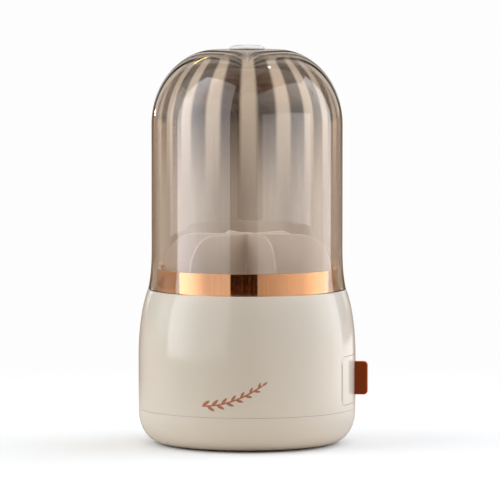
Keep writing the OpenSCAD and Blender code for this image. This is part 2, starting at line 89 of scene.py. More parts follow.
world = bpy.data.worlds.new("studio")
scene.world = world
world.use_nodes = True
world.node_tree.nodes.clear()
room_add, room_calc = node_tools(world.node_tree)
looking = room_add("ShaderNodeTexCoord").outputs["Generated"]
direction = room_add("ShaderNodeVectorRotate", {"Vector": looking, "Angle": -view_turn},
                     rotation_type="Z_AXIS").outputs[0]
sideways, away, upwards = room_add("ShaderNodeSeparateXYZ", {0: direction}).outputs
azimuth = room_calc("ARCTAN2", sideways, away)


def step(value, low, high):
    """Soft step of a value from 0 at one level to 1 at another."""
    return room_add("ShaderNodeMapRange", {"Value": value, "From Min": low, "From Max": high},
                    interpolation_type="SMOOTHSTEP").outputs[0]


def squeezed(reach):
    """Azimuth from the back of the room that hardly grows any more beyond a reach."""
    return room_calc("MULTIPLY", room_calc("ARCTANGENT", room_calc("DIVIDE", azimuth, reach)), reach)


def plain(colour, strength=1.0):
    """Background of one colour, which is given as a tuple or as a node's output."""
    colour = (*colour, 1) if isinstance(colour, tuple) else colour
    return room_add("ShaderNodeBackground", {"Color": colour, "Strength": strength}).outputs[0]


def bands(across, count, shift, dark, light, softness, narrower=0.0):
    """Background of upright bands. The dark ones are wider where narrower is above 0."""
    wave = room_calc("SINE", room_calc("MULTIPLY_ADD", across, count, shift))
    mask = step(wave, narrower - softness, narrower + softness)
    mix = room_add("ShaderNodeMix", {0: mask, 6: (*dark, 1), 7: (*light, 1)}, data_type="RGBA")
    return plain(mix.outputs[2])


def choose(mask, first, second):
    """First background where the mask is 0, the second where it is 1."""
    return room_add("ShaderNodeMixShader", {0: mask, 1: first, 2: second}).outputs[0]


# The far side shows fine stripes through the dome, with soft haze over a low stretch, and in reflections
# broad bands that a fan of narrower ones replaces above eye level.
quarter = math.pi / 2
narrow = squeezed(0.06)
walls = bands(azimuth, 2, -quarter, (0.24, 0.15, 0.10), (0.66, 0.42, 0.28), softness=1.0)
stripes = bands(narrow, 354, quarter, (0.035, 0.018, 0.010), (0.68, 0.57, 0.45), softness=0.45, narrower=0.15)
fan = bands(squeezed(0.3), 60, quarter, (0.03, 0.02, 0.014), (0.74, 0.68, 0.60), softness=0.5)
haze = bands(narrow, 177, 0.0, (0.37, 0.29, 0.22), (0.50, 0.42, 0.34), softness=1.0)
haze_top = (-0.062, -0.036)
haze_foot = (-0.10, -0.13)
through_dome = choose(step(upwards, *haze_foot), choose(step(upwards, *haze_top), haze, stripes), stripes)
mirrored_back = choose(step(upwards, 0.0, 0.05), walls, fan)
ray = room_add("ShaderNodeLightPath").outputs
far_side = choose(ray["Is Transmission Ray"], mirrored_back, through_dome)

# The camera's side is dark with a few lighter spots, and has the broad bands near the ceiling.
spots = room_add("ShaderNodeTexNoise", {"Vector": direction, "Scale": 22, "Detail": 3}).outputs["Fac"]
dark = choose(step(spots, 0.5, 0.68), plain((0.018, 0.009, 0.006)), plain((0.26, 0.13, 0.07)))
near_side = choose(step(upwards, 0.3, 0.55), dark, walls)

# Matt surfaces get an even warm fill, and the camera sees the pale backdrop.
room = choose(step(away, -0.35, 0.1), near_side, far_side)
room = choose(ray["Is Diffuse Ray"], room, plain((1.0, 0.91, 0.78), 0.26))
room = choose(ray["Is Camera Ray"], room, plain((0.985, 0.985, 0.985)))
room_add("ShaderNodeOutputWorld", {"Surface": room})


# Soft lamps: two tall ones left and right of the camera with a dark gap between them, which the gloss
# mirrors, two narrow ones further back for the right-hand edge, and two wide ones that only give light.
def softbox(name, start, end, distance, low, high, inner, outer, colour, mirrored, grow=(0.0, 1.0)):
    """Upright soft lamp between two azimuths, counted from the camera's side and positive to the right.

    Its radiance grows from the edge nearer the camera to the other one, over a span of its width, and fades
    at its ends. A mirrored lamp only shows in reflections, the others only light the surfaces, and neither
    shows straight through both walls of the dome."""
    middle = (start + end) / 2
    centre_z = (low + high) / 2
    lamp = bpy.data.lights.new(name, "AREA")
    lamp.shape = "RECTANGLE"
    lamp.size = 2 * distance * math.tan(math.radians((end - start) / 2))
    lamp.size_y = high - low
    lamp.energy = math.pi * lamp.size * lamp.size_y
    lamp.color = colour
    lamp.use_nodes = True
    add, calc = node_tools(lamp.node_tree)
    spot = add("ShaderNodeSeparateXYZ", {0: add("ShaderNodeNewGeometry").outputs["Parametric"]}).outputs
    grow_from, grow_to = grow if middle > 0 else (1 - grow[0], 1 - grow[1])
    level = add("ShaderNodeMapRange", {
        "Value": spot["X"], "From Min": grow_from, "From Max": grow_to, "To Min": inner, "To Max": outer},
        interpolation_type="SMOOTHSTEP").outputs[0]
    off_middle = calc("ABSOLUTE", calc("SUBTRACT", spot["Y"], 0.5))
    ends = add("ShaderNodeMapRange", {"Value": off_middle, "From Min": 0.5, "From Max": 0.485},
               interpolation_type="SMOOTHSTEP").outputs[0]
    passed = add("ShaderNodeLightPath").outputs
    bounced = calc("ADD", passed["Glossy Depth"], passed["Diffuse Depth"])
    two_walls = 4
    at_most_one = calc("LESS_THAN", passed["Transmission Depth"], two_walls - 0.5)
    shown = calc("MINIMUM", calc("ADD", bounced, at_most_one), 1.0)
    strength = calc("MULTIPLY", calc("MULTIPLY", level, ends), shown)
    lamp.node_tree.links.new(strength, lamp.node_tree.nodes["Emission"].inputs["Strength"])
    item = bpy.data.objects.new(name, lamp)
    turn = math.radians(middle) + view_turn
    item.location = (distance * math.sin(turn), -distance * math.cos(turn), centre_z)
    facing = Vector((0, 0, centre_z)) - item.location
    item.rotation_euler = facing.to_track_quat("-Z", "Y").to_euler()
    item.visible_camera = False
    item.visible_diffuse = not mirrored
    item.visible_glossy = mirrored
    item.visible_transmission = mirrored
    scene.collection.objects.link(item)
    return item


softbox("left_light", start=-122, end=-48, distance=1.0, low=0.1, high=1.6,
        inner=1.72, outer=1.72, colour=(0.93, 1.08, 1.22), mirrored=False)
softbox("right_light", start=58, end=150, distance=1.05, low=0.1, high=1.6,
        inner=1.85, outer=1.85, colour=(0.91, 1.06, 1.27), mirrored=False)
softbox("left_softbox", start=-91, end=-20, distance=1.0, low=-0.025, high=2.05,
        inner=0.95, outer=2.25, colour=(0.97, 0.98, 1.04), mirrored=True, grow=(0.38, 0.78))
softbox("right_softbox", start=12.6, end=101, distance=1.05, low=-0.5, high=1.5,
        inner=0.51, outer=1.35, colour=(0.98, 0.97, 0.93), mirrored=True)
softbox("right_strip", start=101, end=119, distance=1.1, low=-0.5, high=1.2,
        inner=1.62, outer=1.62, colour=(0.97, 0.96, 1.0), mirrored=True)
low_strip = softbox("right_low_strip", start=119, end=150, distance=1.15, low=-0.5, high=0.02,
                    inner=1.3, outer=1.1, colour=(0.95, 0.97, 1.02), mirrored=True)
low_strip.visible_transmission = False


# Sparks: a small bright lamp nearly overhead, another one behind the object on the left, and an amber strip.
# They only show as glints. Each is given by its direction from the dome: to the right, away from the camera
# and up.
spark_distance = 1.5
dome_middle = Vector((0, 0, 0.24))
for name, towards, size, strength, colour in (
        ("spark_top", (0.283, 0.135, 0.95), (0.06, 0.06), 30, (1.0, 1.0, 1.0)),
        ("spark_left", (-0.515, 0.858, 0.02), (0.05, 0.05), 12, (1.0, 1.0, 1.0)),
        ("amber_strip", (-0.342, 0.70, 0.625), (0.30, 0.05), 8, (1.0, 0.62, 0.16))):
    lamp = bpy.data.lights.new(name, "AREA")
    lamp.shape = "RECTANGLE"
    lamp.size, lamp.size_y = size
    lamp.energy = strength * math.pi * size[0] * size[1]
    lamp.color = colour
    item = bpy.data.objects.new(name, lamp)
    way = view_right * towards[0] - view_front * towards[1] + Vector((0, 0, towards[2]))
    item.location = dome_middle + way * spark_distance
    item.rotation_euler = (-way).to_track_quat("-Z", "Y").to_euler()
    item.visible_camera = False
    item.visible_diffuse = False
    item.visible_transmission = False
    scene.collection.objects.link(item)


# Top lamp: wide soft square under the ceiling. It lights what faces up and shows neither in reflections nor
# through the dome.
top_height = 1.7
top_radiance = 1.6
top = bpy.data.lights.new("top_light", "AREA")
top.size = 1.6
top.energy = top_radiance * math.pi * top.size ** 2
top.color = (1.0, 0.96, 0.90)
top_item = bpy.data.objects.new("top_light", top)
top_item.location = (0, 0, top_height)
top_item.visible_camera = False
top_item.visible_glossy = False
top_item.visible_transmission = False
scene.collection.objects.link(top_item)


# Table: pale plain disc whose edge fades into the pale room. What it throws back at the object is duller, and
# its mirror image in the gloss is duller still.
table_r = 0.95
bm = bmesh.new()
bmesh.ops.create_circle(bm, cap_ends=True, segments=96, radius=table_r)
mesh = bpy.data.meshes.new("table")
bm.to_mesh(mesh)
bm.free()
table = bpy.data.objects.new("table", mesh)
scene.collection.objects.link(table)
pale_table = bpy.data.materials.new("pale_table")
pale_table.use_nodes = True
add = node_tools(pale_table.node_tree)[0]
bsdf = pale_table.node_tree.nodes["Principled BSDF"]
bsdf.inputs["Roughness"].default_value = 0.8
seen = add("ShaderNodeLightPath").outputs
thrown_back = (0.82, 0.75, 0.67, 1)
in_gloss = (0.55, 0.50, 0.45, 1)
seen_directly = (0.955, 0.955, 0.955, 1)
dull = add("ShaderNodeMix", {0: seen["Is Glossy Ray"], 6: thrown_back, 7: in_gloss}, data_type="RGBA")
tone = add("ShaderNodeMix", {0: seen["Is Camera Ray"], 6: dull.outputs[2], 7: seen_directly},
           data_type="RGBA")
pale_table.node_tree.links.new(tone.outputs[2], bsdf.inputs["Base Color"])
place = add("ShaderNodeTexCoord").outputs["Object"]
reach = add("ShaderNodeVectorMath", {0: place}, operation="LENGTH").outputs["Value"]
fade = add("ShaderNodeMapRange", {"Value": reach, "From Min": 0.6, "From Max": 0.08},
           interpolation_type="SMOOTHERSTEP").outputs[0]
pale_table.node_tree.links.new(fade, bsdf.inputs["Alpha"])
table.data.materials.append(pale_table)


# Base dish: shallow ivory moulding that stands still under the turning seam. Its lower edge is an elliptical
# curve down to the flat underside. It is injection moulded and polished.
mm = 0.001
dish_low, dish_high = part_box("base_dish")
polished_off = 0.05 * mm
body_r = dish_high.y - polished_off
seam_close = 0.19 * mm
underside_r = 58 * mm
dish_wall = 2.6 * mm
dish_band_h = 2 * mm
dish_lip_h = 6 * mm
edge_r = 0.2 * mm
foot_out_r = 56.1 * mm
foot_in_r = 48.9 * mm
groove_top = 1.6 * mm


def arc(x, y, a, b, start, end, steps=40):
    """Points of an elliptical arc, with angles in degrees."""
    turns = [math.radians(start + (end - start) * i / steps) for i in range(steps + 1)]
    return [(x + a * math.cos(t), y + b * math.sin(t)) for t in turns]


def smoothed(item):
    """Smooth shading apart from edges sharper than 35 degrees, with normals weighted by the faces' areas."""
    item.data.shade_smooth()
    item.data.set_sharp_from_angle(angle=math.radians(35))
    shading = item.modifiers.new("even_shading", "WEIGHTED_NORMAL")
    shading.keep_sharp = True
    return item


def placed(name, bm):
    """Object at the origin from a finished bmesh."""
    mesh = bpy.data.meshes.new(name)
    bm.to_mesh(mesh)
    bm.free()
    item = bpy.data.objects.new(name, mesh)
    scene.collection.objects.link(item)
    return smoothed(item)


def turned(name, outline, steps=192):
    """Solid of revolution from an outline of (r, z) points. Points on the axis close it there."""
    on_axis = 1e-7
    bm = bmesh.new()
    rings = []
    for r, z in outline:
        if r < on_axis:
            rings.append([bm.verts.new((0, 0, z))])
        else:
            turns = [2 * math.pi * i / steps for i in range(steps)]
            rings.append([bm.verts.new((r * math.cos(t), r * math.sin(t), z)) for t in turns])
    closed = outline[0][0] > on_axis or outline[-1][0] > on_axis
    pairs = zip(rings, rings[1:] + rings[:1]) if closed else zip(rings, rings[1:])
    for low, high in pairs:
        for i in range(steps):
            j = (i + 1) % steps
            corners = [low[i % len(low)], low[j % len(low)], high[j % len(high)], high[i % len(high)]]
            corners = [v for k, v in enumerate(corners) if v not in corners[:k]]
            if len(corners) > 2:
                bm.faces.new(corners)
    bmesh.ops.recalc_face_normals(bm, faces=bm.faces)
    return placed(name, bm)


def moulding_group():
    """Shader node group: the slight cloudiness, uneven gloss and fine ripple of a moulded plastic surface."""
    group = bpy.data.node_groups.new("moulded_surface", "ShaderNodeTree")
    face = group.interface
    for label, kind, value in [
        ("Colour", "NodeSocketColor", (0.8, 0.8, 0.8, 1)),
        ("Deep Colour", "NodeSocketColor", (0.7, 0.7, 0.7, 1)),
        ("Roughness", "NodeSocketFloat", 0.15),
        ("Uneven", "NodeSocketFloat", 0.05),
        ("Ripple", "NodeSocketFloat", 0.02),
    ]:
        face.new_socket(name=label, in_out="INPUT", socket_type=kind).default_value = value
    face.new_socket(name="Colour", in_out="OUTPUT", socket_type="NodeSocketColor")
    face.new_socket(name="Roughness", in_out="OUTPUT", socket_type="NodeSocketFloat")
    face.new_socket(name="Normal", in_out="OUTPUT", socket_type="NodeSocketVector")
    add, calc = node_tools(group)
    given = add("NodeGroupInput").outputs
    place = add("ShaderNodeTexCoord").outputs["Object"]

    def noise(scale, detail):
        return add("ShaderNodeTexNoise", {"Vector": place, "Scale": scale, "Detail": detail}).outputs["Fac"]

    cloudy = noise(scale=14, detail=3)
    clouds = add("ShaderNodeMix", {0: cloudy, 6: given["Colour"], 7: given["Deep Colour"]}, data_type="RGBA")
    gloss = calc("MULTIPLY_ADD", noise(scale=55, detail=5), given["Uneven"], given["Roughness"])
    ripple_h = 0.4 * mm
    ripple = add("ShaderNodeBump", {
        "Strength": given["Ripple"], "Distance": ripple_h, "Height": noise(scale=70, detail=2)})
    add("NodeGroupOutput", {"Colour": clouds.outputs[2], "Roughness": gloss, "Normal": ripple.outputs[0]})
    return group


moulded = moulding_group()


def surfaced(name, colour, deep, roughness, uneven, ripple):
    """New material with the moulded surface group in front of its shader, and that shader."""
    mat = bpy.data.materials.new(name)
    mat.use_nodes = True
    add = node_tools(mat.node_tree)[0]
    bsdf = mat.node_tree.nodes["Principled BSDF"]
    surface = add("ShaderNodeGroup", {
        "Colour": (*colour, 1), "Deep Colour": (*deep, 1), "Roughness": roughness, "Uneven": uneven,
        "Ripple": ripple}, node_tree=moulded).outputs
    mat.node_tree.links.new(surface["Colour"], bsdf.inputs["Base Color"])
    mat.node_tree.links.new(surface["Roughness"], bsdf.inputs["Roughness"])
    mat.node_tree.links.new(surface["Normal"], bsdf.inputs["Normal"])
    return mat, bsdf


def plastic(name, colour, deep, roughness, uneven, ripple, coat=0.0, scatter=0.0):
    """Moulded plastic with its own values of the shared surface, a clear gloss and light inside it."""
    mat, bsdf = surfaced(name, colour, deep, roughness, uneven, ripple)
    bsdf.inputs["IOR"].default_value = 1.5
    bsdf.inputs["Coat Weight"].default_value = coat
    bsdf.inputs["Coat Roughness"].default_value = 0.03
    bsdf.inputs["Subsurface Weight"].default_value = scatter
    bsdf.inputs["Subsurface Radius"].default_value = (0.004, 0.003, 0.002)
    return mat


ivory = plastic("ivory_gloss", (0.81, 0.73, 0.63), (0.78, 0.70, 0.60), 0.10, 0.06, 0.03,
                coat=0.3, scatter=0.05)
dish_top = dish_high.z + seam_close
corner_z = dish_top - dish_band_h
dish_floor = dish_top - dish_lip_h
dish = turned("base_dish_moulding", [
    (0, dish_low.z), (foot_in_r, dish_low.z), (foot_in_r, groove_top), (foot_out_r, groove_top),
    (foot_out_r, dish_low.z)]
    + arc(underside_r, corner_z, body_r - underside_r, corner_z - dish_low.z, -90, 0)
    + arc(body_r - edge_r, dish_top - edge_r, edge_r, edge_r, 0, 90, 6)
    + [(body_r - dish_wall, dish_top), (body_r - dish_wall, dish_floor), (0, dish_floor)])
dish.data.materials.append(ivory)
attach(dish, "base")
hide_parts("base_dish")


# Foot ring: soft dark rubber ring under the dish, which keeps the base still while the body turns. It is
# pressed into a groove of the dish.
def dress(node, mat):
    """Gives a carried-over CAD node its material."""
    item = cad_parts[node]
    item.data.materials.clear()
    item.data.materials.append(mat)


foot_rubber = plastic("foot_rubber", (0.09, 0.09, 0.09), (0.06, 0.06, 0.06), 0.62, 0.2, 0.3)
dress("foot_ring", foot_rubber)


# Bearing: grey track rings, a white cage and steel balls between the dish and the turntable plate. Sunk
# screws hold the tracks, and a pivot screw with a washer holds the plate down on the dish's post. None of it
# shows once assembled.
inner_white = plastic("inner_white", (0.87, 0.81, 0.73), (0.84, 0.78, 0.70), 0.28, 0.12, 0.08, scatter=0.08)
track_grey = plastic("track_grey", (0.42, 0.43, 0.45), (0.36, 0.37, 0.39), 0.35, 0.15, 0.1)
for node in ("lower_track", "upper_track"):
    dress(node, track_grey)
for node in ("ball_cage", "turntable_plate"):
    dress(node, inner_white)


def metal(name, colour, roughness, uneven, ripple):
    """Bare metal or a metallised skin: slightly uneven gloss with a faint ripple."""
    deep = [0.94 * part for part in colour]
    mat, bsdf = surfaced(name, colour, deep, roughness, uneven, ripple)
    bsdf.inputs["Metallic"].default_value = 1.0
    return mat


steel = metal("bright_steel", (0.66, 0.67, 0.69), 0.22, 0.15, 0.1)
for node in ("lower_track_screws", "bearing_balls", "upper_track_screws", "pivot_washer", "pivot_screw",
             "shell_screws", "bay_screws", "front_screws"):
    dress(node, steel)


# Body shell: glossy ivory drum. Its side is upright, then turns in along an ellipse to the shoulder that the
# dome stands on. The drawer's window is cut through the side, and four screws hold it from below.
shell_low, shell_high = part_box("body_shell")
shell_z, shoulder_z = shell_low.z - seam_close, shell_high.z
belly_z = 60 * mm
shoulder_r = 67.5 * mm
shoulder_turn = math.radians(53.5)
shoulder_edge_w = 0.3 * mm
shoulder_edge_h = 0.1 * mm
shell_wall = 2.4 * mm
mouth_r = 60.2 * mm
shoulder_a = (body_r - shoulder_r) / (1 - math.cos(shoulder_turn))
shoulder_b = (shoulder_z - belly_z) / math.sin(shoulder_turn)
front_low, front_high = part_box("drawer_front")
front_gap = 0.25 * mm
front_corner_r = 4 * mm
cutter_near_x = 0.6 * body_r
cutter_far_x = body_r + 5 * mm


def shell_side(inset, top_z):
    """Outline of the shell's side from the seam up to a height, drawn in by a wall."""
    a, b = shoulder_a - inset, shoulder_b - inset
    end = math.degrees(math.asin((top_z - belly_z) / b))
    upright = [(body_r - inset, shell_z + (belly_z - shell_z) * i / 8) for i in range(1, 8)]
    return upright + arc(body_r - shoulder_a, belly_z, a, b, 0, end)


def prism(near, far):
    """Closed bmesh between two like outlines of points in space."""
    bm = bmesh.new()
    near = [bm.verts.new(point) for point in near]
    far = [bm.verts.new(point) for point in far]
    bm.faces.new(near)
    bm.faces.new(far[::-1])
    for i in range(len(near)):
        j = (i + 1) % len(near)
        bm.faces.new((near[j], near[i], far[i], far[j]))
    bmesh.ops.recalc_face_normals(bm, faces=bm.faces)
    return bm


def front_bar(name, grow):
    """Bar along X with the drawer front's rounded outline, grown by a gap."""
    middle = (front_low.z + front_high.z) / 2
    half_w = front_high.y + grow
    half_h = (front_high.z - front_low.z) / 2 + grow
    r = front_corner_r + grow
    points = []
    for cx, cy, start in ((1, 1, 0), (-1, 1, 90), (-1, -1, 180), (1, -1, 270)):
        points += arc(cx * (half_w - r), middle + cy * (half_h - r), r, r, start, start + 90, 8)
    near = [(cutter_near_x, y, z) for y, z in points]
    far = [(cutter_far_x, y, z) for y, z in points]
    return placed(name, prism(near, far))


def cut(item, tool, operation):
    """Applies a boolean with a tool object, which is then removed."""
    item.modifiers.clear()
    change = item.modifiers.new("cut", "BOOLEAN")
    change.operation = operation
    change.object = tool
    change.solver = "EXACT"
    graph = bpy.context.evaluated_depsgraph_get()
    mesh = bpy.data.meshes.new_from_object(item.evaluated_get(graph))
    item.modifiers.clear()
    item.data = mesh
    bpy.data.objects.remove(tool)
    return smoothed(item)


shell = turned("body_shell_moulding",
    arc(body_r - edge_r, shell_z + edge_r, edge_r, edge_r, -90, 0, 6)
    + shell_side(0, shoulder_z - shoulder_edge_h)
    + [(shoulder_r - shoulder_edge_w, shoulder_z), (mouth_r, shoulder_z), (mouth_r, shoulder_z - shell_wall)]
    + shell_side(shell_wall, shoulder_z - shell_wall)[::-1]
    + [(body_r - shell_wall, shell_z)])
shell = cut(shell, front_bar("window_tool", front_gap), "DIFFERENCE")
shell.data.materials.clear()
shell.data.materials.append(ivory)
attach(shell, "turntable")
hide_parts("body_shell")


# Printed twig: one colour print in terracotta on the front of the shell, a curved stem with leaves on both
# sides. It is pad printed, so it is only as thick as a coat of ink.
def twig_group():
    """Geometry Nodes group: a stem with alternate leaves, drawn flat and then wrapped round the shell."""
    group = bpy.data.node_groups.new("printed_twig", "GeometryNodeTree")
    face = group.interface
    face.new_socket(name="Geometry", in_out="INPUT", socket_type="NodeSocketGeometry")
    for label, kind, value in [
        ("Length", "NodeSocketFloat", 0.04),
        ("Rise", "NodeSocketFloat", 0.014),
        ("Stem Thickness", "NodeSocketFloat", 0.0005),
        ("Leaves", "NodeSocketInt", 11),
        ("Leaf Length", "NodeSocketFloat", 0.007),
        ("Leaf Width", "NodeSocketFloat", 0.0016),
        ("Leaf Angle", "NodeSocketFloat", 0.6),
        ("Ink Thickness", "NodeSocketFloat", 0.00003),
        ("Shell Radius", "NodeSocketFloat", 0.07),
        ("Centre X", "NodeSocketFloat", 0.0),
        ("Centre Z", "NodeSocketFloat", 0.04),
        ("Ink", "NodeSocketMaterial", None),
    ]:
        socket = face.new_socket(name=label, in_out="INPUT", socket_type=kind)
        if value is not None:
            socket.default_value = value
    face.new_socket(name="Geometry", in_out="OUTPUT", socket_type="NodeSocketGeometry")
    add, calc = node_tools(group)
    given = add("NodeGroupInput").outputs

    def vector(x, y, z):
        return add("ShaderNodeCombineXYZ", {0: x, 1: y, 2: z}).outputs[0]

    half = calc("MULTIPLY", given["Length"], 0.5)
    low = calc("MULTIPLY", given["Rise"], -0.5)
    high = calc("MULTIPLY", given["Rise"], 0.5)
    stem = add("GeometryNodeCurveQuadraticBezier", {
        "Resolution": 48, "Start": vector(calc("MULTIPLY", half, -1.0), 0.0, low),
        "Middle": vector(0.0, 0.0, low), "End": vector(half, 0.0, high)}).outputs[0]
    section = add("GeometryNodeCurvePrimitiveCircle", {
        "Resolution": 8, "Radius": given["Stem Thickness"]}).outputs[0]
    along = add("GeometryNodeSplineParameter").outputs["Factor"]
    root_share, lost_to_tip = 0.55, 0.3
    taper = calc("MULTIPLY_ADD", along, -lost_to_tip, root_share)
    tapered = add("GeometryNodeSetCurveRadius", {"Curve": stem, "Radius": taper}).outputs[0]
    stem_mesh = add("GeometryNodeCurveToMesh", {
        "Curve": tapered, "Profile Curve": section, "Fill Caps": True}).outputs[0]

    disc = add("GeometryNodeMeshCircle", {"Vertices": 28, "Radius": 1.0}, fill_type="NGON").outputs[0]
    at = add("ShaderNodeSeparateXYZ", {0: add("GeometryNodeInputPosition").outputs[0]}).outputs
    leaf_point = 1.7
    width = calc("MULTIPLY", calc("SIGN", at["Y"]), calc("POWER", calc("ABSOLUTE", at["Y"]), leaf_point))
    leaf_x = calc("MULTIPLY", calc("MULTIPLY_ADD", at["X"], 0.5, 0.5), given["Leaf Length"])
    leaf_z = calc("MULTIPLY", width, given["Leaf Width"])
    leaf = add("GeometryNodeSetPosition", {
        "Geometry": disc, "Position": vector(leaf_x, 0.0, leaf_z)}).outputs[0]

    points = add("GeometryNodeCurveToPoints", {"Curve": stem, "Count": given["Leaves"]}, mode="COUNT").outputs
    index = add("GeometryNodeInputIndex").outputs[0]
    side = calc("MULTIPLY_ADD", calc("MODULO", index, 2.0), 2.0, -1.0)
    last = add("FunctionNodeFloatToInt", {0: calc("SUBTRACT", given["Leaves"], 1.0)}).outputs[0]
    is_tip = add("FunctionNodeCompare", {"A": index, "B": last},
                 data_type="INT", operation="EQUAL").outputs[0]
    lean = calc("MULTIPLY", calc("MULTIPLY", side, given["Leaf Angle"]), calc("SUBTRACT", 1.0, is_tip))
    leaning = add("FunctionNodeAxisAngleToRotation", {"Axis": (0, 1, 0), "Angle": lean}).outputs[0]
    facing = add("FunctionNodeAlignRotationToVector", {"Vector": points["Tangent"]},
                 axis="X", pivot_axis="Y").outputs[0]
    turned_leaf = add("FunctionNodeRotateRotation", {"Rotation": facing, "Rotate By": leaning},
                      rotation_space="LOCAL").outputs[0]
    root_leaf, lost_along = 1.05, 0.4
    size = calc("MULTIPLY_ADD", calc("DIVIDE", index, given["Leaves"]), -lost_along, root_leaf)
    leaves = add("GeometryNodeInstanceOnPoints", {
        "Points": points["Points"], "Instance": leaf, "Rotation": turned_leaf, "Scale": size}).outputs[0]
    leaves = add("GeometryNodeRealizeInstances", {0: leaves}).outputs[0]
    join = add("GeometryNodeJoinGeometry")
    group.links.new(leaves, join.inputs[0])
    group.links.new(stem_mesh, join.inputs[0])

    flat = add("ShaderNodeSeparateXYZ", {0: add("GeometryNodeInputPosition").outputs[0]}).outputs
    turn_by = calc("DIVIDE", calc("ADD", flat["X"], given["Centre X"]), given["Shell Radius"])
    flattened = calc("DIVIDE", given["Ink Thickness"], calc("MULTIPLY", given["Stem Thickness"], -1.0))
    ink_level = calc("MULTIPLY_ADD", flat["Y"], flattened, given["Ink Thickness"])
    radius = calc("ADD", given["Shell Radius"], ink_level)
    round_x = calc("MULTIPLY", radius, calc("SINE", turn_by))
    round_y = calc("MULTIPLY", calc("MULTIPLY", radius, calc("COSINE", turn_by)), -1.0)
    raised_z = calc("ADD", flat["Z"], given["Centre Z"])
    wrapped = add("GeometryNodeSetPosition", {
        "Geometry": join.outputs[0], "Position": vector(round_x, round_y, raised_z)}).outputs[0]
    inked = add("GeometryNodeSetMaterial", {"Geometry": wrapped, "Material": given["Ink"]}).outputs[0]
    group.links.new(inked, add("NodeGroupOutput").inputs[0])
    return group


def grown(name, group, values):
    """Mesh object made by a Geometry Nodes group, with its named inputs set by their identifiers."""
    seed = bpy.data.objects.new(name + "_seed", bpy.data.meshes.new(name + "_seed"))
    scene.collection.objects.link(seed)
    growth = seed.modifiers.new("grow", "NODES")
    growth.node_group = group
    for socket in group.interface.items_tree:
        if socket.item_type == "SOCKET" and socket.in_out == "INPUT" and socket.name in values:
            growth[socket.identifier] = values[socket.name]
    graph = bpy.context.evaluated_depsgraph_get()
    mesh = bpy.data.meshes.new_from_object(seed.evaluated_get(graph))
    bpy.data.objects.remove(seed)
    item = bpy.data.objects.new(name, mesh)
    scene.collection.objects.link(item)
    return item


ink = plastic("terracotta_ink", (0.50, 0.18, 0.09), (0.46, 0.155, 0.075), 0.3, 0.1, 0.02)
twig = grown("printed_twig", twig_group(), {
    "Length": 41 * mm, "Rise": 14 * mm, "Stem Thickness": 0.5 * mm, "Leaves": 14, "Leaf Length": 6.4 * mm,
    "Leaf Width": 1.05 * mm, "Leaf Angle": 0.6, "Ink Thickness": 0.03 * mm, "Shell Radius": body_r,
    "Centre X": 0.0, "Centre Z": 39 * mm, "Ink": ink})
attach(twig, "turntable")


# Drawer bay and tray: white mouldings behind the window. The bay is screwed to the turntable plate, and the
# tray runs in it on two runners.
for node in ("drawer_bay", "drawer_tray"):
    dress(node, inner_white)


# Drawer front: piece of the shell's curved side that closes the window, in the same glossy ivory. It is
# screwed to the tray from inside.
front_in_r = 70.6 * mm
front_blank_top = 80 * mm
front = turned("drawer_front_moulding",
    [(front_in_r, shell_z), (body_r, shell_z)]
    + shell_side(0, front_blank_top)
    + [(front_in_r, front_blank_top)])
front = cut(front, front_bar("front_tool", 0), "INTERSECT")
front.data.materials.clear()
front.data.materials.append(ivory)
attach(front, "drawer")
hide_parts("drawer_front")


# Pull tab: flat terracotta tab of soft plastic with a rounded rim, where a lighter orange is a painted
# highlight. Its root passes through the drawer front and is trapped behind it.
tab_low, tab_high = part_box("pull_tab")
tab_t = 2.8 * mm
tab_corner_r = 2.7 * mm
tab_rim = 0.55 * mm


def flat_plate(outline, thickness, edge, bare_x):
    """Upright plate in the XZ plane from an outline of (x, z) points. Its edges are rounded beyond an x."""
    bm = prism([(x, -thickness / 2, z) for x, z in outline], [(x, thickness / 2, z) for x, z in outline])
    slack = 1e-5
    round_edges = [e for e in bm.edges if abs(e.verts[0].co.y - e.verts[1].co.y) < slack
                   and max(v.co.x for v in e.verts) > bare_x + slack]
    bmesh.ops.bevel(bm, geom=round_edges, offset=edge, segments=3, profile=0.5, affect="EDGES")
    return bm


tab_arc_x = tab_high.x - tab_corner_r
bm = flat_plate([(tab_low.x, tab_low.z)]
    + arc(tab_arc_x, tab_low.z + tab_corner_r, tab_corner_r, tab_corner_r, -90, 0, 10)
    + arc(tab_arc_x, tab_high.z - tab_corner_r, tab_corner_r, tab_corner_r, 0, 90, 10)
    + [(tab_low.x, tab_high.z)], tab_t, tab_rim, tab_low.x)
# Rim mark: 1 on the rounded edges, which the material paints lighter as a painted highlight.
rim = bm.verts.layers.float.new("rim")
on_face = 1e-6
for v in bm.verts:
    v[rim] = 1.0 if abs(abs(v.co.y) - tab_t / 2) > on_face else 0.0
tab = placed("pull_tab_moulding", bm)
terracotta, bsdf = surfaced("terracotta_tab", (0.25, 0.040, 0.004), (0.22, 0.035, 0.003), 0.42, 0.15, 0.2)
bsdf.inputs["IOR"].default_value = 1.5
bsdf.inputs["Specular IOR Level"].default_value = 0.12
add = node_tools(terracotta.node_tree)[0]
face_colour = bsdf.inputs["Base Color"].links[0].from_socket
# Painted highlight: a lighter orange on the rounded rim stands in for the light its edges catch.
painted_highlight_share = add("ShaderNodeAttribute", attribute_name="rim").outputs["Fac"]
with_painted_highlight = add("ShaderNodeMix", {0: painted_highlight_share, 6: face_colour, 7: (0.62, 0.12, 0.035, 1)}, data_type="RGBA")
terracotta.node_tree.links.new(with_painted_highlight.outputs[2], bsdf.inputs["Base Color"])
tab.data.materials.append(terracotta)
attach(tab, "drawer")
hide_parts("pull_tab")


# Cup: round white moulding that holds what stands in the organizer. It hangs by its flange in the shell's
# mouth.
dress("divider_cup", inner_white)


